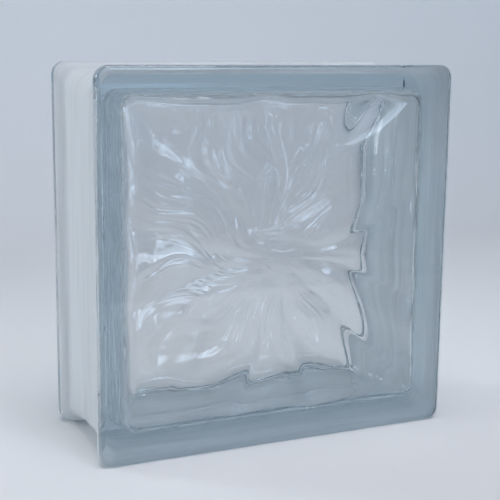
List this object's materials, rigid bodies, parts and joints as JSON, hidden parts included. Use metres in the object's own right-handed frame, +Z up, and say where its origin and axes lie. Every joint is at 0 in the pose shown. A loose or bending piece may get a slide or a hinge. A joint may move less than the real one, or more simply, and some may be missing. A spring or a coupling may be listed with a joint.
{
  "type": "hollow glass block",
  "caption": "Square hollow glass building block: two pressed glass dishes fused at the middle, waves on their inner faces, white-coated mortar channel round the edge.",
  "frame": {"origin": "middle of the lower edge face, on the floor under the block's centre", "axes": "+X along the width to the right of the front face, +Y through the depth from the front face to the back face, +Z up"},
  "size_m": [0.19, 0.08, 0.19],
  "materials": {
    "glass": "clear pressed glass, fire-polished and smooth outside, waved inside, faint blue-grey tint in the thick edges",
    "edge_coat": "thin white coat that the mortar grips, matt"
  },
  "bodies": {
    "root": {"front_half": "glass", "back_half": "glass", "edge_coating": "edge_coat"}
  },
  "joints": []
}
